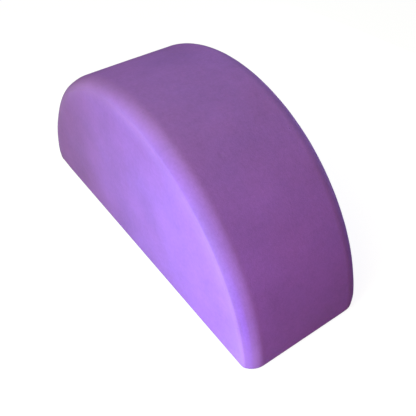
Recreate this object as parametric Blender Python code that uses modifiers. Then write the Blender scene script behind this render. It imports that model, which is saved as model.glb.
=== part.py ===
"""A half-round yoga block: one solid piece of closed-cell EVA foam, 230 x 80 x 106 mm.

The block is a thick foam disc cut flat a little above its centre. Its two D-shaped faces are flat and parallel.
A router has rounded the edge between each face and the arch, with a bit that cuts only part of a quarter circle,
so the round is tangent to the arch but meets the face in a visible crease.

Metres, +Z up. The origin is the middle of the flat base. X runs from foot to foot along the base, and Y runs
from one D-shaped face to the other.
"""

import math

import bmesh
import bpy

# Driving dimensions
LENGTH = 0.230  # the flat base from foot to foot, along X
HEIGHT = 0.106  # from the base to the top of the arch, along Z
WIDTH = 0.080  # between the two D-shaped faces, along Y
EDGE_RADIUS = 0.011  # of the routed round between arch and face
EDGE_INSET = 0.0055  # how far inside the arch that round meets the face
BASE_SOFTENING = 0.0008  # the edges round the base are cut square, and worn only this much

# How finely the round surfaces are faceted
ARCH_STEPS = 180  # for a whole turn
EDGE_STEPS = 6
SOFTENING_STEPS = 2

# Worked out from the dimensions above
ARCH_RADIUS = ((LENGTH / 2) ** 2 + HEIGHT**2) / (2 * HEIGHT)
ARCH_CENTRE = HEIGHT - ARCH_RADIUS  # negative: the arch's centre lies below the base
EDGE_SWEEP = math.acos(1 - EDGE_INSET / EDGE_RADIUS)
EDGE_DEPTH = EDGE_RADIUS * math.sin(EDGE_SWEEP)  # how far the round reaches in from the face

MERGE_DISTANCE = 0.00001
FLAT_WITHIN = math.radians(0.2)  # facets closer to one plane than this are one face
BASE_EDGE_ANGLE = math.radians(60)  # steeper edges are those round the base
CREASE_ANGLE = math.radians(20)  # steeper edges are shaded sharp

FOAM_COLOUR = (0.262, 0.124, 0.432, 1.0)  # the mid purple of the foam, in linear RGB
FOAM_ROUGHNESS = 0.72


def clear_scene():
    for thing in list(bpy.data.objects):
        bpy.data.objects.remove(thing, do_unlink=True)


def new_collection(name):
    collection = bpy.data.collections.new(name)
    bpy.context.scene.collection.children.link(collection)
    return collection


def foam_material():
    """Matte closed-cell foam, coloured right through."""
    material = bpy.data.materials.new("purple_foam")
    material.use_nodes = True
    shader = material.node_tree.nodes["Principled BSDF"]
    shader.inputs["Base Color"].default_value = FOAM_COLOUR
    shader.inputs["Roughness"].default_value = FOAM_ROUGHNESS
    shader.inputs["Metallic"].default_value = 0.0
    material.diffuse_color = FOAM_COLOUR
    return material


def disc_profile():
    """Half the disc's section as (radius, offset along its axis), from one face's middle to the other's."""
    half_width = WIDTH / 2
    rounded_edge = []
    for step in range(EDGE_STEPS + 1):
        angle = EDGE_SWEEP * (1 - step / EDGE_STEPS)
        radius = ARCH_RADIUS - EDGE_RADIUS * (1 - math.cos(angle))
        offset = half_width - EDGE_DEPTH + EDGE_RADIUS * math.sin(angle)
        rounded_edge.append((radius, offset))
    other_edge = [(radius, -offset) for radius, offset in reversed(rounded_edge)]
    return [(0.0, half_width)] + rounded_edge + other_edge + [(0.0, -half_width)]


def foam_disc(collection):
    """The whole disc, turned about its axis and laid so that the axis runs along Y."""
    section = bmesh.new()
    points = [section.verts.new((radius, 0.0, offset)) for radius, offset in disc_profile()]
    for start, end in zip(points, points[1:]):
        section.edges.new((start, end))
    mesh = bpy.data.meshes.new("foam_block")
    section.to_mesh(mesh)
    section.free()

    disc = bpy.data.objects.new("foam_block", mesh)
    collection.objects.link(disc)
    disc.location = (0.0, 0.0, ARCH_CENTRE)
    disc.rotation_euler = (-math.pi / 2, 0.0, 0.0)

    turn = disc.modifiers.new("turned disc", "SCREW")
    turn.axis = "Z"
    turn.angle = 2 * math.pi
    turn.steps = ARCH_STEPS
    turn.render_steps = ARCH_STEPS
    turn.use_merge_vertices = True
    turn.merge_threshold = MERGE_DISTANCE
    return disc


def base_cutter(collection):
    """A box whose top is the plane of the base, larger than all of the disc that lies below it."""
    bpy.ops.mesh.primitive_cube_add(size=1.0)
    cutter = bpy.context.object
    cutter.name = "below_the_base"
    for owner in list(cutter.users_collection):
        owner.objects.unlink(cutter)
    collection.objects.link(cutter)
    depth = 2 * ARCH_RADIUS
    cutter.dimensions = (2 * LENGTH, 2 * WIDTH, depth)
    cutter.location = (0.0, 0.0, -depth / 2)
    cutter.hide_render = True
    cutter.display_type = "WIRE"
    return cutter


def cut_flat(disc, cutter):
    """Take away what lies below the base, and join the facets that the turning left on flat faces."""
    cut = disc.modifiers.new("flat base", "BOOLEAN")
    cut.operation = "DIFFERENCE"
    cut.solver = "EXACT"
    cut.object = cutter
    flats = disc.modifiers.new("whole flat faces", "DECIMATE")
    flats.decimate_type = "DISSOLVE"
    flats.angle_limit = FLAT_WITHIN


def soften_base_edges(block):
    softening = block.modifiers.new("softened base edges", "BEVEL")
    softening.width = BASE_SOFTENING
    softening.segments = SOFTENING_STEPS
    softening.limit_method = "ANGLE"
    softening.angle_limit = BASE_EDGE_ANGLE


def shade_round_with_creases(block):
    """Make the modifiers' result the block's own mesh, smooth except where the round meets the face."""
    evaluated = block.evaluated_get(bpy.context.evaluated_depsgraph_get())
    mesh = bpy.data.meshes.new_from_object(evaluated)
    block.modifiers.clear()
    block.data = mesh
    mesh.shade_smooth()
    mesh.set_sharp_from_angle(angle=CREASE_ANGLE)


def build():
    clear_scene()
    parts = new_collection("yoga_block")
    cutters = new_collection("cutters")
    block = foam_disc(parts)
    cut_flat(block, base_cutter(cutters))
    soften_base_edges(block)
    shade_round_with_creases(block)
    block.data.materials.append(foam_material())


build()
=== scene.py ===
# %% [markdown]
# A half-round foam yoga block
#
# The real object is one piece of closed-cell EVA foam. It starts as a thick sheet, whose two skins become
# the D-shaped side faces. A hot wire or a band saw cuts the arch and the flat base, and a router rounds the
# long arched edges. Nothing is glued or screwed to it, so this lesson has one piece and spends its time on
# the surface: the crease that the router leaves, the slight waviness of cut foam, and the grain of its
# cells.
#
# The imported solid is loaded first. It gives the sizes and the frame that everything here is placed in.

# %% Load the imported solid
import math

import bpy
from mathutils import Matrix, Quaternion, Vector, noise


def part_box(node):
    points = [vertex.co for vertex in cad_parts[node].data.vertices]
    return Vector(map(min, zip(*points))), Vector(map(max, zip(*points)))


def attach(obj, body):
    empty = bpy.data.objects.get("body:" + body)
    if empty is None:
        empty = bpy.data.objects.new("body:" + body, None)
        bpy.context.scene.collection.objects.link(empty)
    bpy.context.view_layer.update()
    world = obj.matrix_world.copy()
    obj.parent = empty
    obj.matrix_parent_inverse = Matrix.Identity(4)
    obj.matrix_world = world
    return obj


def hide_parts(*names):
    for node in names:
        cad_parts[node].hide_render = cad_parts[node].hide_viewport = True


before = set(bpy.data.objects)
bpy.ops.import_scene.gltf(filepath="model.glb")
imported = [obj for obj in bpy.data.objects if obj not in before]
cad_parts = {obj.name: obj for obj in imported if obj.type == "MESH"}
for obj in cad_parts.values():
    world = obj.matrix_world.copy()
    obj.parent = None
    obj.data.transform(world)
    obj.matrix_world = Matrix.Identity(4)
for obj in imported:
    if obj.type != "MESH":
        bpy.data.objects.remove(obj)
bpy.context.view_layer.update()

print("solids:", sorted(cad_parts))

# %% [markdown]
# The camera comes first, because every later choice is judged through it. It looks down on the block from
# beyond its near foot. Its place is in metres in the block's own frame, and its direction is written as a
# photographer would: an azimuth round the block, an elevation above the floor and a slight roll.

# %% Set up the camera
SENSOR_WIDTH = 36.0
LENS = 50.5
CAMERA_PLACE = Vector((0.23216, -0.14941, 0.27121))
CAMERA_AZIMUTH = math.radians(54.474)
CAMERA_ELEVATION = math.radians(43.554)
CAMERA_ROLL = math.radians(-0.31)


def look_from(azimuth, elevation):
    """The unit vector from what is looked at towards whoever looks from there."""
    level = math.cos(elevation)
    return Vector((math.sin(azimuth) * level, -math.cos(azimuth) * level, math.sin(elevation)))


camera_data = bpy.data.cameras.new("camera")
camera_data.sensor_width = SENSOR_WIDTH
camera_data.lens = LENS
camera = bpy.data.objects.new("camera", camera_data)
bpy.context.scene.collection.objects.link(camera)
camera.location = CAMERA_PLACE
aim = -look_from(CAMERA_AZIMUTH, CAMERA_ELEVATION)
camera.rotation_mode = "QUATERNION"
camera.rotation_quaternion = aim.to_track_quat("-Z", "Y") @ Quaternion((0, 0, 1), CAMERA_ROLL)
bpy.context.scene.camera = camera
print("camera is", round(CAMERA_PLACE.length * 1000), "mm from the middle of the base")

# %% [markdown]
# The block's shape is a few sizes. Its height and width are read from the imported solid. The arch is part of
# one circle, whose centre lies a little below the base, so its radius follows from the height and the
# length of the base. The round on each long edge is tangent to the arch, but its bit stops short of a
# quarter turn, which is what leaves the crease on the side face.

# %% Work out the sizes
MM = 0.001
high_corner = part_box("foam_block")[1]
HEIGHT = high_corner[2]
HALF_WIDTH = high_corner[1]
HALF_LENGTH = 115 * MM  # to where arch and base would meet in a sharp edge
ARCH_RADIUS = (HALF_LENGTH**2 + HEIGHT**2) / (2 * HEIGHT)
ARCH_CENTRE = HEIGHT - ARCH_RADIUS
ROUND_RADIUS = 11 * MM
CREASE_INSET = 5.5 * MM
ROUND_SWEEP = math.acos(1 - CREASE_INSET / ROUND_RADIUS)
ROUND_DEPTH = ROUND_RADIUS * math.sin(ROUND_SWEEP)
BASE_SOFTENING = 0.8 * MM
print("arch radius", round(ARCH_RADIUS / MM, 1), "mm")
print("its centre is", round(-ARCH_CENTRE / MM, 1), "mm below the base")

# %% [markdown]
# A cube with a Bevel would give the mass but not this edge, and remeshing would nibble the crease into
# steps. So the skin is laid as rings, like the hoops of a barrel. Each ring is a closed D, and the rings
# march from the middle of one side face, over the crease and the round, across the arch, and down to the
# middle of the other face. A ring then runs exactly along the crease, which keeps it clean from end to end.
#
# A ring needs three numbers: how far it lies inside the arch, where it is across the width, and how far its
# straight side is lifted off the floor, which softens the edges round the base.

# %% Draw one ring
ARCH_POINTS = 320
BASE_POINTS = 130
CORNER_POINTS = 6
FOOT_SOFTENING = 2.6 * MM  # the two feet, where arch and base meet, have been knocked round


def bent(start, corner, end, count):
    """Points inside a smooth bend from start to end that heads for the corner, without its two ends."""
    points = []
    for step in range(1, count + 1):
        t = step / (count + 1)
        shares = (1 - t) ** 2, 2 * t * (1 - t), t**2
        points.append(tuple(sum(s * v for s, v in zip(shares, axis)) for axis in zip(start, corner, end)))
    return points


def d_outline(inset, lift):
    """A closed D as (x, z) points, from the right foot over the arch and back along the base."""
    radius = ARCH_RADIUS - inset
    first = math.asin((lift + FOOT_SOFTENING - ARCH_CENTRE) / radius)
    arch = []
    for step in range(ARCH_POINTS + 1):
        angle = first + (math.pi - 2 * first) * step / ARCH_POINTS
        arch.append((radius * math.cos(angle), ARCH_CENTRE + radius * math.sin(angle)))
    foot = math.sqrt(radius**2 - (lift - ARCH_CENTRE) ** 2)
    reach = foot - FOOT_SOFTENING
    base = [(reach * (2 * step / BASE_POINTS - 1), lift) for step in range(BASE_POINTS + 1)]
    left = bent(arch[-1], (-foot, lift), base[0], CORNER_POINTS)
    right = bent(base[-1], (foot, lift), arch[0], CORNER_POINTS)
    return arch + left + base + right


RING_POINTS = len(d_outline(0, 0))
print("points in a ring:", RING_POINTS)

# %% [markdown]
# The rings of half the block, from the middle of the arch out to one side face. Next to the crease they
# crowd together, so that it can be a tight bend and not a knife edge: real foam breaks over a millimetre or
# so. A few more follow just inside the crease, a band where the face is worn and needs points close
# together.

# %% List the rings
ARCH_RINGS = 30
ROUND_RINGS = 13
CREASE_BEND = 0.45 * MM
CREASE_RINGS = 3
BAND_REACHES = (1.2 * MM, 2.1 * MM, 3.2 * MM, 4.5 * MM, 6.0 * MM, 7.8 * MM)


def half_section():
    """The rings' (inset, offset), from the middle of the arch to a little way inside the crease."""
    flat = HALF_WIDTH - ROUND_DEPTH
    rings = [(0.0, flat * step / ARCH_RINGS) for step in range(ARCH_RINGS)]
    last = ROUND_SWEEP - CREASE_BEND / ROUND_RADIUS
    for step in range(ROUND_RINGS + 1):
        angle = last * step / ROUND_RINGS
        rings.append((ROUND_RADIUS * (1 - math.cos(angle)), flat + ROUND_RADIUS * math.sin(angle)))
    crease = (CREASE_INSET, HALF_WIDTH)
    past_it = (CREASE_INSET + CREASE_BEND, HALF_WIDTH)
    band = [(CREASE_INSET + reach, HALF_WIDTH) for reach in BAND_REACHES]
    return rings + bent(rings[-1], crease, past_it, CREASE_RINGS) + [past_it] + band


shell_rings = half_section()
print("rings from the middle of the arch to the side face:", len(shell_rings))

# %% [markdown]
# Each ring's straight side has its own height off the floor. It rises over the softened edge of the base,
# and then as fast as the ring moves in over the face, so the rings stay evenly apart all the way round.
#
# Past the band the rings shrink towards one point on the face. The face is flat there, so how they shrink
# doesn't show: it only has to give the waviness that comes later enough points to work with.

# %% Place the rings
FACE_RINGS = 32
FACE_MIDDLE = 45 * MM  # height of the point that the face's rings shrink to


def ring_lift(inset, offset):
    """How far off the floor the ring's straight side is."""
    past = max(0.0, abs(offset) - (HALF_WIDTH - BASE_SOFTENING))
    over_edge = BASE_SOFTENING - math.sqrt(max(0.0, BASE_SOFTENING**2 - past**2))
    return over_edge + max(0.0, inset - CREASE_INSET)


def ring_points(inset, offset, shrink=1.0):
    outline = d_outline(inset, ring_lift(inset, offset))
    return [Vector((x * shrink, offset, FACE_MIDDLE + (z - FACE_MIDDLE) * shrink)) for x, z in outline]


def all_rings():
    """Every ring's points, from the +Y face to the -Y face."""
    half = [ring_points(inset, offset) for inset, offset in shell_rings]
    inset, offset = shell_rings[-1]
    half += [ring_points(inset, offset, 1 - step / FACE_RINGS) for step in range(1, FACE_RINGS)]
    other = [[Vector((p.x, -p.y, p.z)) for p in points] for points in half[1:]]
    return list(reversed(half)) + other


rings = all_rings()
print("rings in all:", len(rings))

# %% [markdown]
# The rings are joined with quads, and each face is closed by a fan of small triangles round its middle
# point.

# %% Build the skin
def build_skin(name):
    points = [point for ring in rings for point in ring]
    faces = []
    for ring in range(len(rings) - 1):
        start = ring * RING_POINTS
        for step in range(RING_POINTS):
            here, ahead = start + step, start + (step + 1) % RING_POINTS
            faces.append((here, ahead, ahead + RING_POINTS, here + RING_POINTS))
    for side, start in ((1, 0), (-1, (len(rings) - 1) * RING_POINTS)):
        points.append(Vector((0, side * HALF_WIDTH, FACE_MIDDLE)))
        hub = len(points) - 1
        for step in range(RING_POINTS):
            here, ahead = start + step, start + (step + 1) % RING_POINTS
            faces.append((ahead, here, hub) if side > 0 else (here, ahead, hub))
    mesh = bpy.data.meshes.new(name)
    mesh.from_pydata(points, [], faces)
    mesh.shade_smooth()
    return mesh


skin = build_skin("foam_block_skin")
print("skin:", len(skin.vertices), "points,", len(skin.polygons), "faces")

# %% [markdown]
# Wear, painted light and the tool's marks follow the crease, so each point remembers how far it is from it,
# counted along the surface: negative on the face, positive on the round and the arch. It also remembers how
# crisp the crease is beside it. On the front face the router left it crisp at the right foot. It fades out
# over the top, and on the left the round runs into the face like the edge of a bar of soap. The far face's
# crease is softer all along. A third number tells where the whole round gets a painted highlight: the front
# of the left shoulder.

# %% Measure from the crease
CREASE_RADIUS = ARCH_RADIUS - CREASE_INSET
ROUND_LENGTH = ROUND_RADIUS * ROUND_SWEEP
CRISP_ANGLE = math.radians(38)  # round the arch from the right foot, where the crease starts to soften
SOFT_ANGLE = math.radians(112)  # and where it has faded out
FAR_CRISPNESS = 0.5  # of the far face's crease
FAR_ANGLES = (math.radians(4), math.radians(30))  # it has worn off altogether at the right foot
# From these angles on, the front of the left shoulder gets a painted highlight.
HIGHLIT_SHOULDER_ANGLES = (math.radians(60), math.radians(85))  # where the rubbed shoulder begins
ON_FACE = 0.001 * MM  # closer to a side face than this counts as on it


def smooth_step(value, start, end):
    """0 before start, 1 after end, and an S-curve between them."""
    t = min(1.0, max(0.0, (value - start) / (end - start)))
    return t * t * (3 - 2 * t)


def arch_angle(point):
    return math.atan2(point.z - ARCH_CENTRE, point.x)


def from_crease(point):
    """Signed distance from the crease along the surface: negative on the side face."""
    radius = math.hypot(point.x, point.z - ARCH_CENTRE)
    flat = HALF_WIDTH - ROUND_DEPTH
    across = abs(point.y)
    if across > HALF_WIDTH - ON_FACE:
        return radius - CREASE_RADIUS
    if across > flat:
        return ROUND_LENGTH - ROUND_RADIUS * math.asin(min(1.0, (across - flat) / ROUND_RADIUS))
    return ROUND_LENGTH + flat - across


def crispness(point):
    angle = arch_angle(point)
    if point.y > 0:
        return FAR_CRISPNESS * smooth_step(angle, *FAR_ANGLES)
    return 1 - smooth_step(angle, CRISP_ANGLE, SOFT_ANGLE)


def shoulder_highlight_share(point):
    """How much painted highlight the round gets here: 0 on the far side, and 1 on the front of the left
    shoulder.
    """
    return smooth_step(arch_angle(point), *HIGHLIT_SHOULDER_ANGLES) if point.y < 0 else 0.0


reaches = [from_crease(vertex.co) for vertex in skin.vertices]
crisp = [crispness(vertex.co) for vertex in skin.vertices]
highlit_shoulder = [shoulder_highlight_share(vertex.co) for vertex in skin.vertices]
for label, values in (("crease_distance", reaches), ("crease_crispness", crisp), ("shoulder_highlight", highlit_shoulder)):
    layer = skin.attributes.new(label, "FLOAT", "POINT")
    layer.data.foreach_set("value", values)
print("distance from the crease:", round(min(reaches) / MM, 1), "to", round(max(reaches) / MM, 1), "mm")

# %% [markdown]
# Now the perfect shape is made real, first with what the tools left. The faces have the slow waves of a
# foam sheet. The arch has slow waves too, and the finer ones of a wire that was drawn through the foam. Its
# left shoulder came out a hair fuller than a circle.

# %% What the tools left
FACE_WAVES = ((0.13 * MM, 42 * MM), (0.04 * MM, 13 * MM))  # depth and length of each
ARCH_WAVES = ((0.14 * MM, 48 * MM), (0.035 * MM, 9 * MM))
WIRE_WAVE = (0.045 * MM, 6.5 * MM, 70 * MM)  # depth, length along the arch, and length across the width
WIRE_SLICE = 7.3  # which slice of the noise is read
FULLNESS = 0.18 * MM  # how much prouder than a circle the left shoulder is
FULL_ANGLES = tuple(math.radians(angle) for angle in (90, 108, 118, 132))
FULL_REACHES = (4 * MM, 12 * MM)  # distances from the crease between which it comes up


def waves(point, layers):
    return sum(depth * noise.noise(point / length) for depth, length in layers)


def wire_wave(point):
    depth, along, across = WIRE_WAVE
    travelled = arch_angle(point) * ARCH_RADIUS
    return depth * noise.noise(Vector((travelled / along, point.y / across, WIRE_SLICE)))


def shoulder(point, reach):
    angle = arch_angle(point)
    start, full, still_full, end = FULL_ANGLES
    bulge = smooth_step(angle, start, full) * (1 - smooth_step(angle, still_full, end))
    return FULLNESS * bulge * smooth_step(reach, *FULL_REACHES)


print("the left shoulder is", round(FULLNESS / MM, 2), "mm fuller than a circle")

# %% [markdown]
# Use has added marks of its own. The crease is pared down where it has gone soft, by a small curve that
# reaches further to both sides the softer it is. Three places that stick out have been knocked or worn
# flatter: the far corner of the right foot, the front corner of the left one, and the left shoulder. Just
# above that corner the left foot has swollen a little, where it takes the weight, and a fingernail has
# dented the arch once.

# %% What use has left
CRISP_BEND = 0.8 * MM  # how far the paring reaches to each side of a crisp crease
SOFT_BEND = 6.0 * MM  # and of one that has faded out
PARING = 0.125  # depth of the paring for its reach, for two planes that meet at 30 degrees
KNOCKS = (  # place, radius and depth of each
    (Vector((114 * MM, 37 * MM, 1 * MM)), 5 * MM, 0.7 * MM),
    (Vector((-103 * MM, -40 * MM, -3 * MM)), 7 * MM, 0.35 * MM),
    (Vector((-70 * MM, -34 * MM, 82 * MM)), 12 * MM, 0.25 * MM),
)
SWELLING = (Vector((-105 * MM, -39 * MM, 21 * MM)), 20 * MM, 0.65 * MM)
DENT = (Vector((52.9 * MM, -13.4 * MM, 93.2 * MM)), 0.9 * MM, 0.45 * MM)


def paring(reach, crisp_here):
    """How much is taken off beside the crease."""
    bend = CRISP_BEND * crisp_here + SOFT_BEND * (1 - crisp_here)
    return PARING * bend * max(0.0, 1 - abs(reach) / bend) ** 2


def knock(point, place, radius, depth):
    """The depth of a soft round hollow, or the height of a swelling, at this point."""
    return depth * math.exp(-(((point - place).length / radius) ** 2))


print("places knocked or worn flatter:", len(KNOCKS))

# %% [markdown]
# The base stays flat, because the block stands on it, so the waves and the paring fade out over the last
# millimetres above the floor. At the feet the paring goes on to the floor, but level with it. Otherwise a
# small toe would be left sticking out under the soft edge. The feet have also spread by half a millimetre.

# %% How the feet meet the floor
WAVES_START = 1.5 * MM  # height off the floor where the waves begin
WAVES_FULL = 6 * MM
SPLAY = 0.5 * MM
SPLAY_HEIGHT = 28 * MM  # where it has faded out
SPLAY_REACHES = (60 * MM, 112 * MM)  # distances from the middle between which it comes up
FOOT_DEPTHS = (1 * MM, 4 * MM)  # inside the arch, between which the level paring fades out


def splay(point):
    """How far along the block a foot has spread. It fades out up the arch and towards the middle."""
    low = 1 - smooth_step(point.z, 0, SPLAY_HEIGHT)
    return math.copysign(SPLAY * low * smooth_step(abs(point.x), *SPLAY_REACHES), point.x)


def past_flat(point):
    """How far over the round this point lies across the width, from where the arch ends."""
    return max(0.0, abs(point.y) - HALF_WIDTH + ROUND_DEPTH)


def outward(point):
    """The level direction out of a foot beside this point."""
    turn = math.asin(min(math.sin(ROUND_SWEEP), past_flat(point) / ROUND_RADIUS))
    return Vector((math.copysign(math.cos(turn), point.x), math.copysign(math.sin(turn), point.y), 0))


def inside(point):
    """How far this point lies inside the arch or the round, measured towards the arch's centre."""
    radius = math.hypot(point.x, point.z - ARCH_CENTRE)
    drop = ROUND_RADIUS - math.sqrt(max(0.0, ROUND_RADIUS**2 - past_flat(point) ** 2))
    return ARCH_RADIUS - drop - radius


def foot_wear(point, reach, crisp_here):
    """How far a point near the floor moves level with it."""
    low = 1 - smooth_step(point.z, 0, WAVES_FULL)
    at_foot = 1 - smooth_step(inside(point), *FOOT_DEPTHS)
    return -outward(point) * paring(reach, crisp_here) * low * at_foot


print("each foot has spread by", round(SPLAY / MM, 2), "mm")

# %% [markdown]
# All of it adds up to how far each point moves out along its own normal, and how far it moves level with
# the floor. The normals are noted before the first point moves, so that no move depends on another.

# %% Shape the real surface
CUT_EDGES = (-1 * MM, 1 * MM)  # distances from the crease between which the arch's waves take over


def real_surface(point, reach, crisp_here):
    """How far out from the perfect shape the surface lies at this point."""
    cut = smooth_step(reach, *CUT_EDGES)
    wavy = waves(point, FACE_WAVES) * (1 - cut) + (waves(point, ARCH_WAVES) + wire_wave(point)) * cut
    wavy += shoulder(point, reach) + knock(point, *SWELLING) - knock(point, *DENT)
    above = smooth_step(point.z, WAVES_START, WAVES_FULL)
    worn = paring(reach, crisp_here) * smooth_step(point.z, 0, WAVES_FULL)
    worn += sum(knock(point, *place) for place in KNOCKS)
    return wavy * above - worn


moves = [real_surface(v.co, reach, c) for v, reach, c in zip(skin.vertices, reaches, crisp)]
level_moves = [foot_wear(v.co, reach, c) for v, reach, c in zip(skin.vertices, reaches, crisp)]
normals = [vertex.normal.copy() for vertex in skin.vertices]
for vertex, normal, move, level_move in zip(skin.vertices, normals, moves, level_moves):
    spread = splay(vertex.co)
    vertex.co += normal * move + level_move
    vertex.co.x += spread
skin.update()
print("the surface moved by", round(min(moves) / MM, 2), "to", round(max(moves) / MM, 2), "mm")

# %% [markdown]
# The skin now becomes an object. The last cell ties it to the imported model.

# %% Make the piece
block = bpy.data.objects.new("foam_block_visual", skin)
bpy.context.scene.collection.objects.link(block)
print("piece:", block.name)

# %% [markdown]
# Now the finish. A material is a small network of nodes, and typing one out is mostly adding nodes and
# joining sockets, so two helpers keep that readable. An input given as another node's output is linked, and
# any other value is typed into the socket.

# %% Helpers for nodes
def add_node(tree, kind, inputs=(), **settings):
    made = tree.nodes.new(kind)
    for name, value in settings.items():
        setattr(made, name, value)
    for name, value in dict(inputs).items():
        if isinstance(value, bpy.types.NodeSocket):
            tree.links.new(value, made.inputs[name])
        else:
            made.inputs[name].default_value = value
    return made


def calculate(tree, operation, *values, clamp=False):
    """One Math node, and its result."""
    inputs = dict(enumerate(values))
    return add_node(tree, "ShaderNodeMath", inputs, operation=operation, use_clamp=clamp).outputs[0]


def remap(tree, value, from_low, from_high, to_low=0.0, to_high=1.0, smooth=True):
    inputs = {
        "Value": value, "From Min": from_low, "From Max": from_high, "To Min": to_low, "To Max": to_high,
    }
    kind = "SMOOTHSTEP" if smooth else "LINEAR"
    return add_node(tree, "ShaderNodeMapRange", inputs, interpolation_type=kind).outputs["Result"]


def mix_colours(tree, share, first, second, blend="MIX"):
    node = add_node(tree, "ShaderNodeMix", data_type="RGBA", blend_type=blend)
    for socket, value in ((node.inputs[0], share), (node.inputs[6], first), (node.inputs[7], second)):
        if isinstance(value, bpy.types.NodeSocket):
            tree.links.new(value, socket)
        else:
            socket.default_value = value
    return node.outputs[2]


def new_group(name, inputs, outputs):
    """A node group with number inputs, given with their defaults, and number outputs."""
    tree = bpy.data.node_groups.new(name, "ShaderNodeTree")
    for label, value in inputs.items():
        tree.interface.new_socket(label, in_out="INPUT", socket_type="NodeSocketFloat").default_value = value
    for label in outputs:
        tree.interface.new_socket(label, in_out="OUTPUT", socket_type="NodeSocketFloat")
    entry = add_node(tree, "NodeGroupInput").outputs
    result = add_node(tree, "NodeGroupOutput").inputs
    return tree, entry, result


def use_group(tree, group, **values):
    """Use a group in a material. Its values are typed in, with underscores for the spaces in their names."""
    made = add_node(tree, "ShaderNodeGroup", node_tree=group)
    for label, value in values.items():
        made.inputs[label.replace("_", " ")].default_value = value
    return made.outputs


print("node helpers are ready")

# %% [markdown]
# Foam is made of closed cells. Those that the tool cut through are tiny cups, too small to see one by one,
# that give the cut surface its dry grain, and here and there a larger bubble leaves a pinhole. Voronoi
# nodes fill space with such cells. Their size is given in metres, because the node reads the block's own
# coordinates.

# %% Foam cells
CELL_EDGE = 0.75  # how far from a cell's middle its dome ends, in cells
HOLE_BOTTOM = 0.4  # the share of a pinhole's radius that lies at its full depth
CELLS_WITHOUT_HOLES = 0.4  # the share of the large cells that have no pinhole


def make_foam_cells():
    inputs = {"Cell Size": 0.7 * MM, "Pinhole Spacing": 7 * MM, "Pinhole Radius": 0.3 * MM}
    tree, entry, result = new_group("foam_cells", inputs, ("Height", "Pinholes"))
    place = add_node(tree, "ShaderNodeTexCoord").outputs["Object"]
    cells_per_metre = calculate(tree, "DIVIDE", 1.0, entry["Cell Size"])
    cells = add_node(tree, "ShaderNodeTexVoronoi", {"Vector": place, "Scale": cells_per_metre})
    domes = remap(tree, cells.outputs["Distance"], 0.0, CELL_EDGE, 1.0, 0.0)
    holes_per_metre = calculate(tree, "DIVIDE", 1.0, entry["Pinhole Spacing"])
    holes = add_node(tree, "ShaderNodeTexVoronoi", {"Vector": place, "Scale": holes_per_metre})
    reach = calculate(tree, "DIVIDE", entry["Pinhole Radius"], entry["Pinhole Spacing"])
    bottom = calculate(tree, "MULTIPLY", reach, HOLE_BOTTOM)
    near = remap(tree, holes.outputs["Distance"], bottom, reach, 1.0, 0.0)
    lottery = add_node(tree, "ShaderNodeSeparateColor", {"Color": holes.outputs["Color"]}).outputs["Red"]
    wins = calculate(tree, "GREATER_THAN", lottery, CELLS_WITHOUT_HOLES)
    chosen = calculate(tree, "MULTIPLY", near, wins)
    tree.links.new(domes, result["Height"])
    tree.links.new(chosen, result["Pinholes"])
    return tree


foam_cells = make_foam_cells()
print("group:", foam_cells.name, "with", len(foam_cells.nodes), "nodes")

# %% [markdown]
# The pigment is never mixed in quite evenly. Seen from a step away the purple has clouds in it, a little
# lighter or darker and a little bluer or pinker, some as wide as a thumb and some as wide as a hand. Two
# noises of different sizes are added for the shade, and another pair, taken elsewhere in space, for the
# tint. Both come out around zero, so each material can use as much of them as it likes.

# %% Clouded pigment
def make_clouded_pigment():
    inputs = {"Small Cloud": 8 * MM, "Large Cloud": 30 * MM, "Grain": 1.2 * MM}
    tree, entry, result = new_group("clouded_pigment", inputs, ("Shade", "Tint", "Grain"))
    place = add_node(tree, "ShaderNodeTexCoord").outputs["Object"]
    far_off = {0: place, 1: (0.71, -0.37, 0.53)}
    elsewhere = add_node(tree, "ShaderNodeVectorMath", far_off, operation="ADD").outputs[0]

    def cloud(where, size, detail):
        per_metre = calculate(tree, "DIVIDE", 1.0, size)
        inputs = {"Vector": where, "Scale": per_metre, "Detail": detail, "Roughness": 0.5}
        noise_value = add_node(tree, "ShaderNodeTexNoise", inputs).outputs[0]
        return calculate(tree, "MULTIPLY_ADD", noise_value, 2.0, -1.0)

    for label, where in (("Shade", place), ("Tint", elsewhere)):
        small = cloud(where, entry["Small Cloud"], 2.0)
        large = cloud(where, entry["Large Cloud"], 1.0)
        tree.links.new(calculate(tree, "ADD", calculate(tree, "MULTIPLY", small, 0.5), large), result[label])
    tree.links.new(cloud(place, entry["Grain"], 1.0), result["Grain"])
    return tree


clouded_pigment = make_clouded_pigment()
print("group:", clouded_pigment.name, "with", len(clouded_pigment.nodes), "nodes")

# %% [markdown]
# Hands and mats rub the crease, and rubbed foam is paler and a little smoother. The pale mask here is partly
# that wear and partly a painted highlight, strongest where the crease is crisp and stands out. Over the whole
# round of the left shoulder it is a painted highlight. Beside the crisp crease a fainter painted sheen lies
# further up, where the round bulges out before it turns into the arch. The front corner of the right foot,
# nearest the key light, is painted paler as well: a painted pool of light. The group reads the numbers that
# each point of the skin carries, and breaks its mask up with noise so that it isn't a painted line.

# %% Rubbed crease and painted highlight
CRISP_FADE = 0.5 * MM  # over which a crisp band runs out on the round
FACE_FALLOFF = 1.5  # how quickly a band runs out over the face, as a power
BULGE_EDGES = (5 * MM, 9 * MM, 10 * MM, 13.5 * MM)  # distances from the crease
# The right foot's front corner, where the painted pool of light and the painted cool light are centred.
RIGHT_FOOT_CORNER = (113 * MM, -39 * MM, 0)
FOOT_LIGHT_ENDS = (8 * MM, 12 * MM)  # distances from the crease between which the scuff fades, up the round
WEAKEST_WEAR_AND_HIGHLIGHT = 0.7  # the share of its strength that is left where the noise breaks it up most
PATCH_LEVELS = (0.3, 0.6)  # of the noise, between which the rubbing comes up to its full strength


def read_point_value(tree, name):
    return add_node(tree, "ShaderNodeAttribute", attribute_name=name).outputs["Fac"]


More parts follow.
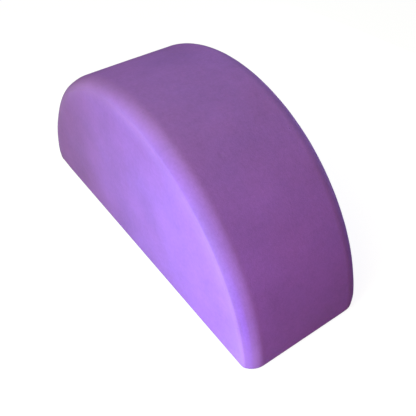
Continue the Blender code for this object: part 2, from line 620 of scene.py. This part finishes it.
def between(tree, value, edges):
    """0 outside the outer two edges, 1 between the inner two, and an S-curve on each side."""
    start, full, still_full, end = edges
    falling = remap(tree, value, still_full, end, 1.0, 0.0)
    return calculate(tree, "MULTIPLY", remap(tree, value, start, full), falling)


def make_crease_wear_and_highlight():
    inputs = {
        "Crisp Face Reach": 12 * MM, "Crisp Round Reach": 1.3 * MM, "Crisp Strength": 0.43,
        "Highlight Face Reach": 8 * MM, "Highlight Round Reach": 13 * MM, "Highlight Strength": 0.44,
        "Bulge Strength": 0.18, "Patch Size": 14 * MM,
        "Foot Light Well Until": 6 * MM, "Foot Light Until": 34 * MM, "Foot Light Strength": 0.45,
    }
    tree, entry, result = new_group("crease_wear_and_highlight", inputs, ("Mask",))
    reach = read_point_value(tree, "crease_distance")

    def band(face_reach, round_reach, fade):
        """Full at the crease. It runs out slowly over the face, and over the given fade on the round."""
        face_side = calculate(tree, "ADD", reach, face_reach)
        face_side = calculate(tree, "DIVIDE", face_side, face_reach, clamp=True)
        round_side = calculate(tree, "SUBTRACT", round_reach, reach)
        round_side = calculate(tree, "DIVIDE", round_side, fade, clamp=True)
        return calculate(tree, "MULTIPLY", calculate(tree, "POWER", face_side, FACE_FALLOFF), round_side)

    crisp_band = band(entry["Crisp Face Reach"], entry["Crisp Round Reach"], CRISP_FADE)
    crisp_band = calculate(tree, "MULTIPLY", crisp_band, entry["Crisp Strength"])
    highlight_reach = entry["Highlight Round Reach"]
    highlight_band = band(entry["Highlight Face Reach"], highlight_reach, highlight_reach)
    highlight_band = calculate(tree, "MULTIPLY", highlight_band, entry["Highlight Strength"])
    bulge_band = calculate(tree, "MULTIPLY", between(tree, reach, BULGE_EDGES), entry["Bulge Strength"])
    # The crisp band is partly rubbed wear and partly painted highlight; the bulge band is painted sheen.
    wear_and_highlight = calculate(tree, "ADD", crisp_band, bulge_band)
    wear_and_highlight = calculate(tree, "MULTIPLY", wear_and_highlight, read_point_value(tree, "crease_crispness"))
    # The left shoulder's band is a painted highlight.
    wear_and_highlight = calculate(tree, "MULTIPLY_ADD", highlight_band, read_point_value(tree, "shoulder_highlight"), wear_and_highlight)

    place = add_node(tree, "ShaderNodeTexCoord").outputs["Object"]
    # The right foot's front corner is painted paler: a painted pool of key light.
    away = add_node(tree, "ShaderNodeVectorMath", {0: place, 1: RIGHT_FOOT_CORNER}, operation="DISTANCE")
    near = remap(tree, away.outputs["Value"], entry["Foot Light Well Until"], entry["Foot Light Until"], 1.0, 0.0)
    foot_light = calculate(tree, "MULTIPLY", near, entry["Foot Light Strength"])
    foot_light = calculate(tree, "MULTIPLY", foot_light, remap(tree, reach, *FOOT_LIGHT_ENDS, 1.0, 0.0))
    wear_and_highlight = calculate(tree, "ADD", wear_and_highlight, foot_light)

    per_metre = calculate(tree, "DIVIDE", 1.0, entry["Patch Size"])
    patches = {"Vector": place, "Scale": per_metre, "Detail": 3.0}
    patches = add_node(tree, "ShaderNodeTexNoise", patches).outputs[0]
    strength = remap(tree, patches, *PATCH_LEVELS, WEAKEST_WEAR_AND_HIGHLIGHT, 1.0)
    broken = calculate(tree, "MULTIPLY", wear_and_highlight, strength)
    tree.links.new(broken, result["Mask"])
    return tree


crease_wear_and_highlight = make_crease_wear_and_highlight()
print("group:", crease_wear_and_highlight.name, "with", len(crease_wear_and_highlight.nodes), "nodes")

# %% [markdown]
# Three more masks belong to the round. Where its crease has worn off altogether, the skin of the sheet has
# been pressed over its edge and gives it the face's colour. The other two are painted light at the right
# foot. Just past the crisp crease there the round is painted a shade darker and browner: painted shade,
# where it turns away from the key light. Right beside the crease a narrow band is painted bluer: painted
# cool light from the key, which rakes along it.

# %% Marked round and painted light
# Where the band of painted cool light lies beside the crease.
COOL_LIGHT_EDGES = (1.5 * MM, 3.0 * MM, 4.5 * MM, 6.5 * MM)  # distances from the crease
WORN_FALLOFF = 4.0  # how suddenly the worn stretch ends along the crease, as a power
# How suddenly the painted shade on the round ends along the crease, as a power.
ROUND_SHADE_FALLOFF = 8.0  # and the singed one


def make_round_marks_and_painted_light():
    inputs = {
        "Worn Reach": 8 * MM,
        # Where the painted shade on the round starts and ends, counted from the crease.
        "Round Shade From": 2.5 * MM, "Round Shade Well Until": 7 * MM, "Round Shade Until": 15 * MM,
        # How far from the right foot's corner the painted cool light fades.
        "Cool Light Well Until": 30 * MM, "Cool Light Until": 75 * MM,
    }
    tree, entry, result = new_group("round_marks_and_painted_light", inputs, ("Worn", "Round Shade", "Cool Light"))
    reach = read_point_value(tree, "crease_distance")
    crisp_here = read_point_value(tree, "crease_crispness")
    worn = calculate(tree, "POWER", calculate(tree, "SUBTRACT", 1.0, crisp_here), WORN_FALLOFF)
    near = remap(tree, reach, 0.0, entry["Worn Reach"], 1.0, 0.0)
    tree.links.new(calculate(tree, "MULTIPLY", worn, near), result["Worn"])
    # Painted shade on the round past a crisp crease
    round_shade = calculate(tree, "POWER", crisp_here, ROUND_SHADE_FALLOFF)
    round_shade = calculate(tree, "MULTIPLY", round_shade, remap(tree, reach, 0.0, entry["Round Shade From"]))
    near = remap(tree, reach, entry["Round Shade Well Until"], entry["Round Shade Until"], 1.0, 0.0)
    tree.links.new(calculate(tree, "MULTIPLY", round_shade, near), result["Round Shade"])

    # Painted cool light in a band beside the crease, near the right foot's corner
    place = add_node(tree, "ShaderNodeTexCoord").outputs["Object"]
    away = add_node(tree, "ShaderNodeVectorMath", {0: place, 1: RIGHT_FOOT_CORNER}, operation="DISTANCE")
    near = remap(tree, away.outputs["Value"], entry["Cool Light Well Until"], entry["Cool Light Until"], 1.0, 0.0)
    tree.links.new(calculate(tree, "MULTIPLY", between(tree, reach, COOL_LIGHT_EDGES), near), result["Cool Light"])
    return tree


round_marks_and_painted_light = make_round_marks_and_painted_light()
print("group:", round_marks_and_painted_light.name, "with", len(round_marks_and_painted_light.nodes), "nodes")

# %% [markdown]
# The foam is painted greyer and darker towards its left foot. This is painted shade: that end lies farthest
# from the cool key light. The group gives the share of this painted shade, which runs along the block and
# wanders a little, so that it has no edge.

# %% Painted shade at the left end
WANDER_SIZE = 45 * MM  # how far along the block one turn of the wandering takes


def make_left_end_shade():
    inputs = {"Shaded Until": -95 * MM, "Full Light From": 25 * MM, "Wander": 22 * MM}
    tree, entry, result = new_group("left_end_shade", inputs, ("Mask",))
    place = add_node(tree, "ShaderNodeTexCoord").outputs["Object"]
    along = add_node(tree, "ShaderNodeSeparateXYZ", {"Vector": place}).outputs["X"]
    wobble = {"Vector": place, "Scale": 1 / WANDER_SIZE, "Detail": 2.0}
    wobble = add_node(tree, "ShaderNodeTexNoise", wobble).outputs[0]
    moved = calculate(tree, "MULTIPLY_ADD", calculate(tree, "SUBTRACT", wobble, 0.5), entry["Wander"], along)
    mask = remap(tree, moved, entry["Shaded Until"], entry["Full Light From"], 1.0, 0.0)
    tree.links.new(mask, result["Mask"])
    return tree


left_end_shade = make_left_end_shade()
print("group:", left_end_shade.name, "with", len(left_end_shade.nodes), "nodes")

# %% [markdown]
# The two finishes share a recipe and differ in their values. The sheet's own skin, on the side faces, is
# smooth, a little bluer, and has only a faint grain. The cut foam of the round, the arch and the base is
# drier, with more open cells and pinholes, and fine lines where the hot wire paused. Both are matte: foam
# has no gloss to speak of.
#
# What is the same all over a finish is typed straight into the shader's sockets. Only what changes over the
# surface is linked.

# %% Mix the two foams
# The second colour of each finish's pair is painted shade: greyer and darker, for the left end that the key
# light hardly reaches.
SKIN_PURPLE = (0.271, 0.112, 0.420, 1)
SKIN_SHADED_END = (0.276, 0.108, 0.360, 1)
CUT_PURPLE = (0.228, 0.099, 0.417, 1)
CUT_SHADED_END = (0.219, 0.0845, 0.398, 1)
BLUER = (0.88, 1.0, 1.10, 1)
PINKER = (1.12, 1.0, 0.93, 1)
# Paler purple along the crease: partly rubbed foam, partly painted highlight.
WEAR_AND_HIGHLIGHT_PURPLE = (0.335, 0.170, 0.50, 1)
# Painted shade on the round at the right foot, darker and browner, then painted cool light beside the crease
# there, bluer.
ROUND_SHADE_TINT = (0.88, 0.90, 0.83, 1)
COOL_LIGHT_TINT = (1.02, 1.0, 1.22, 1)
# Painted shade in the pinholes: they are darkened as shade in a pit.
PINHOLE_SHADE_PURPLE = (0.12, 0.050, 0.19, 1)
PINHOLE_SHADE_SHARE = 0.7  # of that colour in a pinhole
LINE_SHADE = 0.08  # how much the wire lines lighten or darken the cut foam
LINE_LENGTH = 60 * MM  # how far across the block a line runs before it changes
ROUGHNESS = 0.68
CLOUD_ROUGHNESS = 0.05  # how much the clouds add
# The smoother rubbing follows the same mask of wear and painted highlight.
WEAR_AND_HIGHLIGHT_ROUGHNESS = -0.08  # and the rubbing


def wire_lines(tree, spacing):
    """Fine lines across the arch, a noise that is stretched along the block's width."""
    place = add_node(tree, "ShaderNodeTexCoord").outputs["Object"]
    parts = add_node(tree, "ShaderNodeSeparateXYZ", {"Vector": place}).outputs
    up = calculate(tree, "SUBTRACT", parts["Z"], ARCH_CENTRE)
    travelled = calculate(tree, "MULTIPLY", calculate(tree, "ARCTAN2", up, parts["X"]), ARCH_RADIUS / spacing)
    across = calculate(tree, "MULTIPLY", parts["Y"], 1 / LINE_LENGTH)
    where = add_node(tree, "ShaderNodeCombineXYZ", {"X": travelled, "Y": across}).outputs[0]
    return add_node(tree, "ShaderNodeTexNoise", {"Vector": where, "Scale": 1.0, "Detail": 2.0}).outputs[0]


def foam_material(
    name, full_light_colour, shaded_end_colour, cells, clouds, wear_and_highlight_values, shade_share, grain_share, tint_share, heights, spacing=None
):
    """One foam finish. heights are the depths in metres of cells, grain, pinholes and wire lines."""
    material = bpy.data.materials.new(name)
    material.use_nodes = True
    tree = material.node_tree
    shader = tree.nodes["Principled BSDF"]
    shader.inputs["Specular IOR Level"].default_value = 0.3
    shader.inputs["Sheen Weight"].default_value = 0.05
    shader.inputs["Sheen Roughness"].default_value = 0.5

    cell = use_group(tree, foam_cells, **cells)
    cloud = use_group(tree, clouded_pigment, **clouds)
    wear_and_highlight = use_group(tree, crease_wear_and_highlight, **wear_and_highlight_values)["Mask"]
    round_marks_and_light = use_group(tree, round_marks_and_painted_light)
    shaded_end_share = use_group(tree, left_end_shade)["Mask"]

    # Painted shade towards the left foot, in both finishes
    colour = mix_colours(tree, shaded_end_share, full_light_colour, shaded_end_colour)
    skin_colour = mix_colours(tree, shaded_end_share, SKIN_PURPLE, SKIN_SHADED_END)
    colour = mix_colours(tree, round_marks_and_light["Worn"], colour, skin_colour)
    # Painted shade and painted cool light on the round at the right foot
    colour = mix_colours(tree, round_marks_and_light["Round Shade"], colour, ROUND_SHADE_TINT, "MULTIPLY")
    colour = mix_colours(tree, round_marks_and_light["Cool Light"], colour, COOL_LIGHT_TINT, "MULTIPLY")
    bluer = calculate(tree, "MULTIPLY", cloud["Tint"], tint_share, clamp=True)
    pinker = calculate(tree, "MULTIPLY", cloud["Tint"], -tint_share, clamp=True)
    colour = mix_colours(tree, bluer, colour, BLUER, "MULTIPLY")
    colour = mix_colours(tree, pinker, colour, PINKER, "MULTIPLY")
    shade = calculate(tree, "MULTIPLY_ADD", cloud["Shade"], shade_share, 1.0)
    shade = calculate(tree, "MULTIPLY_ADD", cloud["Grain"], grain_share, shade)
    if spacing:
        lines = wire_lines(tree, spacing)
        shade = calculate(tree, "MULTIPLY_ADD", calculate(tree, "SUBTRACT", lines, 0.5), LINE_SHADE, shade)
    grey = add_node(tree, "ShaderNodeCombineColor", {"Red": shade, "Green": shade, "Blue": shade}).outputs[0]
    colour = mix_colours(tree, 1.0, colour, grey, "MULTIPLY")
    # Paler along the crease: partly rubbed wear, partly painted highlight, and painted light at the right
    # foot.
    colour = mix_colours(tree, wear_and_highlight, colour, WEAR_AND_HIGHLIGHT_PURPLE)
    # Painted shade in the pinholes
    pinholes = calculate(tree, "MULTIPLY", cell["Pinholes"], PINHOLE_SHADE_SHARE)
    colour = mix_colours(tree, pinholes, colour, PINHOLE_SHADE_PURPLE)
    tree.links.new(colour, shader.inputs["Base Color"])

    rough = calculate(tree, "MULTIPLY_ADD", cloud["Shade"], CLOUD_ROUGHNESS, ROUGHNESS)
    rough = calculate(tree, "MULTIPLY_ADD", wear_and_highlight, WEAR_AND_HIGHLIGHT_ROUGHNESS, rough)
    tree.links.new(rough, shader.inputs["Roughness"])

    cell_height, grain_height, pinhole_height, line_height = heights
    height = calculate(tree, "MULTIPLY", cell["Height"], cell_height / MM)
    height = calculate(tree, "MULTIPLY_ADD", cloud["Grain"], grain_height / MM, height)
    height = calculate(tree, "MULTIPLY_ADD", cell["Pinholes"], -pinhole_height / MM, height)
    if spacing:
        height = calculate(tree, "MULTIPLY_ADD", lines, line_height / MM, height)
    bump = add_node(tree, "ShaderNodeBump", {"Height": height, "Strength": 1.0, "Distance": MM})
    tree.links.new(bump.outputs["Normal"], shader.inputs["Normal"])
    return material


sheet_skin = foam_material(
    "sheet_skin_foam", SKIN_PURPLE, SKIN_SHADED_END,
    cells={"Cell_Size": 0.8 * MM, "Pinhole_Spacing": 16 * MM, "Pinhole_Radius": 0.25 * MM},
    clouds={"Small_Cloud": 5 * MM, "Large_Cloud": 24 * MM, "Grain": 1.8 * MM},
    wear_and_highlight_values={"Patch_Size": 14 * MM},
    shade_share=0.16, grain_share=0.08, tint_share=0.4,
    heights=(0.012 * MM, 0.02 * MM, 0.1 * MM, 0),
)
cut_foam = foam_material(
    "cut_foam", CUT_PURPLE, CUT_SHADED_END,
    cells={"Cell_Size": 0.6 * MM, "Pinhole_Spacing": 8 * MM, "Pinhole_Radius": 0.3 * MM},
    clouds={"Small_Cloud": 4.5 * MM, "Large_Cloud": 28 * MM, "Grain": 1.3 * MM},
    wear_and_highlight_values={"Patch_Size": 10 * MM},
    shade_share=0.15, grain_share=0.11, tint_share=0.35,
    heights=(0.03 * MM, 0.02 * MM, 0.15 * MM, 0.03 * MM), spacing=3.2 * MM,
)
print("finishes:", sheet_skin.name, "and", cut_foam.name)

# %% [markdown]
# Both finishes go on the one skin. A quad belongs to the sheet's skin if it lies inside the crease on a
# side face.

# %% Dress the block
PAST_CREASE = 0.01 * MM  # points this little past the crease still count as the face

skin.materials.append(sheet_skin)
skin.materials.append(cut_foam)


def finish_of(polygon):
    """0 for the sheet's skin and 1 for cut foam."""
    on_face = all(reaches[vertex] < PAST_CREASE for vertex in polygon.vertices)
    on_base = all(skin.vertices[vertex].co.z < 0.5 * BASE_SOFTENING for vertex in polygon.vertices)
    return 0 if on_face and not on_base else 1


skin.polygons.foreach_set("material_index", [finish_of(polygon) for polygon in skin.polygons])
skin.update()
print("quads of sheet skin:", sum(polygon.material_index == 0 for polygon in skin.polygons))

# %% [markdown]
# The stage is a plain white floor, lit from within like a light table, so that it comes out evenly white
# and keeps only a faint shadow beside the block. What it throws back onto the block is duller than it
# looks. A Light Path node sees to that: the glowing paper is for the camera's own rays, and every other ray
# meets the dull one.

# %% Lay the floor
FLOOR_REACH = 3.0
FLOOR_PAPER = (0.15, 0.15, 0.15, 1)
FLOOR_ROUGHNESS = 0.9
FLOOR_GLOW = 0.91
FLOOR_BOUNCE = (0.35, 0.35, 0.35, 1)

floor_mesh = bpy.data.meshes.new("floor")
floor_corners = [(x * FLOOR_REACH, y * FLOOR_REACH, 0) for x, y in ((-1, -1), (1, -1), (1, 1), (-1, 1))]
floor_mesh.from_pydata(floor_corners, [], [(0, 1, 2, 3)])
floor = bpy.data.objects.new("floor", floor_mesh)
bpy.context.scene.collection.objects.link(floor)

floor_finish = bpy.data.materials.new("pale_floor")
floor_finish.use_nodes = True
floor_tree = floor_finish.node_tree
paper = floor_tree.nodes["Principled BSDF"]
paper.inputs["Base Color"].default_value = FLOOR_PAPER
paper.inputs["Roughness"].default_value = FLOOR_ROUGHNESS
paper.inputs["Specular IOR Level"].default_value = 0.0
paper.inputs["Emission Color"].default_value = (1, 1, 1, 1)
paper.inputs["Emission Strength"].default_value = FLOOR_GLOW
bounce = add_node(floor_tree, "ShaderNodeBsdfDiffuse", {"Color": FLOOR_BOUNCE})
seen = add_node(floor_tree, "ShaderNodeLightPath").outputs["Is Camera Ray"]
both = {0: seen, 1: bounce.outputs[0], 2: paper.outputs[0]}
either = add_node(floor_tree, "ShaderNodeMixShader", both).outputs[0]
floor_tree.links.new(either, floor_tree.nodes["Material Output"].inputs["Surface"])
floor.data.materials.append(floor_finish)
print("floor:", 2 * FLOOR_REACH, "m across")

# %% [markdown]
# Six soft boxes light the block. The key is cool, and hangs low in front of the right foot, where it rakes
# over the side face and carves out the round. A large warm panel is high in front. A cool one overhead and
# a small red lamp beside the near foot give the arch its even, pinker purple. A low violet strip behind
# keeps the back readable, and a faint blue lamp beyond the right foot's far corner keeps that corner from
# going brown. Each is placed by its own x, y and z, and turned towards the block.

# %% Hang the lights
LIGHT_AIM = Vector((0.02, 0, 0.04))
WATTS_FROM_A_METRE = 10  # for a strength of 1


def hang_light(name, place, size, strength, colour):
    """A soft box of that size. Its strength is what it would give at the block from a metre away."""
    data = bpy.data.lights.new(name, "AREA")
    data.shape = "RECTANGLE"
    data.size, data.size_y = size
    data.color = colour
    lamp = bpy.data.objects.new(name, data)
    bpy.context.scene.collection.objects.link(lamp)
    lamp.location = Vector(place)
    data.energy = strength * WATTS_FROM_A_METRE * (lamp.location - LIGHT_AIM).length ** 2
    lamp.rotation_mode = "QUATERNION"
    lamp.rotation_quaternion = (LIGHT_AIM - lamp.location).to_track_quat("-Z", "Y")
    lamp.visible_camera = False
    return lamp


hang_light("key", (0.12, -0.22, 0.06), (0.1, 0.1), 1.40, (0.461, 0.746, 1.0))
hang_light("front_panel", (0, -0.5, 0.8), (0.4, 0.4), 0.772, (0.968, 1.0, 0.412))
hang_light("top_panel", (-0.13, 0, 0.8), (0.5, 0.5), 0.43, (0.566, 0.621, 1.0))
hang_light("side_lamp", (0.35, -0.25, 0.1), (0.15, 0.15), 0.321, (1.0, 0.028, 0.15))
hang_light("back_strip", (-0.02, 0.30, 0.02), (0.3, 0.03), 0.36, (0.78, 0.48, 1.0))
hang_light("corner_lamp", (0.26, 0.20, 0.05), (0.1, 0.1), 0.05, (0.45, 0.33, 1.0))
print("soft boxes:", len(bpy.data.lights))

# %% [markdown]
# The air is treated like the floor: dim as a light, so that it doesn't flatten the shading, and pale to
# look at. The Standard view keeps the colours as they were mixed.

# %% Fill the air
AIR_LIGHT = 0.09
AIR_SEEN = 0.9

world = bpy.data.worlds.new("studio")
bpy.context.scene.world = world
world.use_nodes = True
air_tree = world.node_tree
air = air_tree.nodes["Background"]
air.inputs["Color"].default_value = (1, 1, 1, 1)
looked_at = add_node(air_tree, "ShaderNodeLightPath").outputs["Is Camera Ray"]
air_tree.links.new(remap(air_tree, looked_at, 0.0, 1.0, AIR_LIGHT, AIR_SEEN), air.inputs["Strength"])
bpy.context.scene.view_settings.view_transform = "Standard"
print("the air gives", AIR_LIGHT, "as a light and shows as", AIR_SEEN)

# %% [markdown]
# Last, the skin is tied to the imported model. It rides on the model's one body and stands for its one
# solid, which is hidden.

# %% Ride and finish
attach(block, "root")
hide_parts("foam_block")
print(block.name, "rides on root and stands for foam_block")
